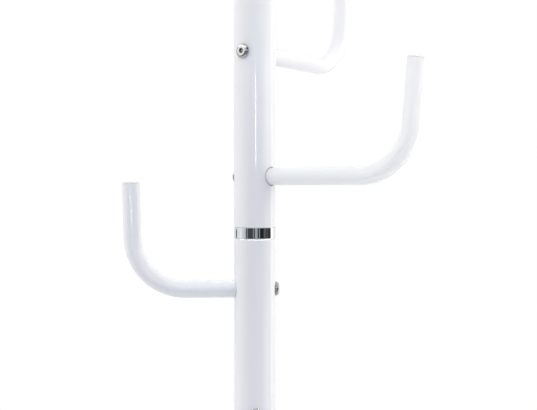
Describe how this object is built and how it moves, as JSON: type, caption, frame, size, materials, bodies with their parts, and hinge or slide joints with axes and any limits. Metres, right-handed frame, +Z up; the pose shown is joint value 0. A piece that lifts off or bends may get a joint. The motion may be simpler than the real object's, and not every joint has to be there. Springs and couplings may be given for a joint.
{
  "type": "coat stand",
  "caption": "Free-standing coat stand with a round weighted foot, a pole of screwed tubes with bright joint rings, and bent tube hooks that turn up at the tips, set round the pole in a spiral.",
  "frame": {"origin": "on the floor, on the pole's axis", "axes": "+Z up along the pole, -Y towards the side that the picture shows"},
  "size_m": [0.37, 0.37, 1.767],
  "materials": {
    "white_paint": "glossy powder coat",
    "white_plastic": "glossy moulding",
    "chrome": "polished",
    "plated_steel": "bright zinc plate",
    "galvanised_sheet": "galvanised",
    "concrete": "rough cast",
    "rubber": "matt"
  },
  "bodies": {
    "root": {"base_shell": "white_paint", "lower_tube": "white_paint", "middle_tube": "white_paint", "upper_tube": "white_paint", "upper_hook_1": "white_paint", "upper_hook_2": "white_paint", "upper_hook_3": "white_paint", "upper_hook_4": "white_paint", "middle_hook_1": "white_paint", "middle_hook_2": "white_paint", "middle_hook_3": "white_paint", "middle_hook_4": "white_paint", "top_cap": "white_plastic", "upper_hook_1_cap": "white_plastic", "upper_hook_2_cap": "white_plastic", "upper_hook_3_cap": "white_plastic", "upper_hook_4_cap": "white_plastic", "middle_hook_1_cap": "white_plastic", "middle_hook_2_cap": "white_plastic", "middle_hook_3_cap": "white_plastic", "middle_hook_4_cap": "white_plastic", "base_ring": "chrome", "lower_ring": "chrome", "upper_ring": "chrome", "hook_screws": "plated_steel", "hook_nuts": "plated_steel", "base_bolt": "plated_steel", "base_washer": "plated_steel", "lower_joint_stud": "plated_steel", "upper_joint_stud": "plated_steel", "lower_tube_foot_plug": "plated_steel", "lower_tube_top_plug": "plated_steel", "middle_tube_foot_plug": "plated_steel", "middle_tube_top_plug": "plated_steel", "upper_tube_foot_plug": "plated_steel", "base_plate": "galvanised_sheet", "base_ballast": "concrete", "base_feet": "rubber"}
  },
  "joints": []
}
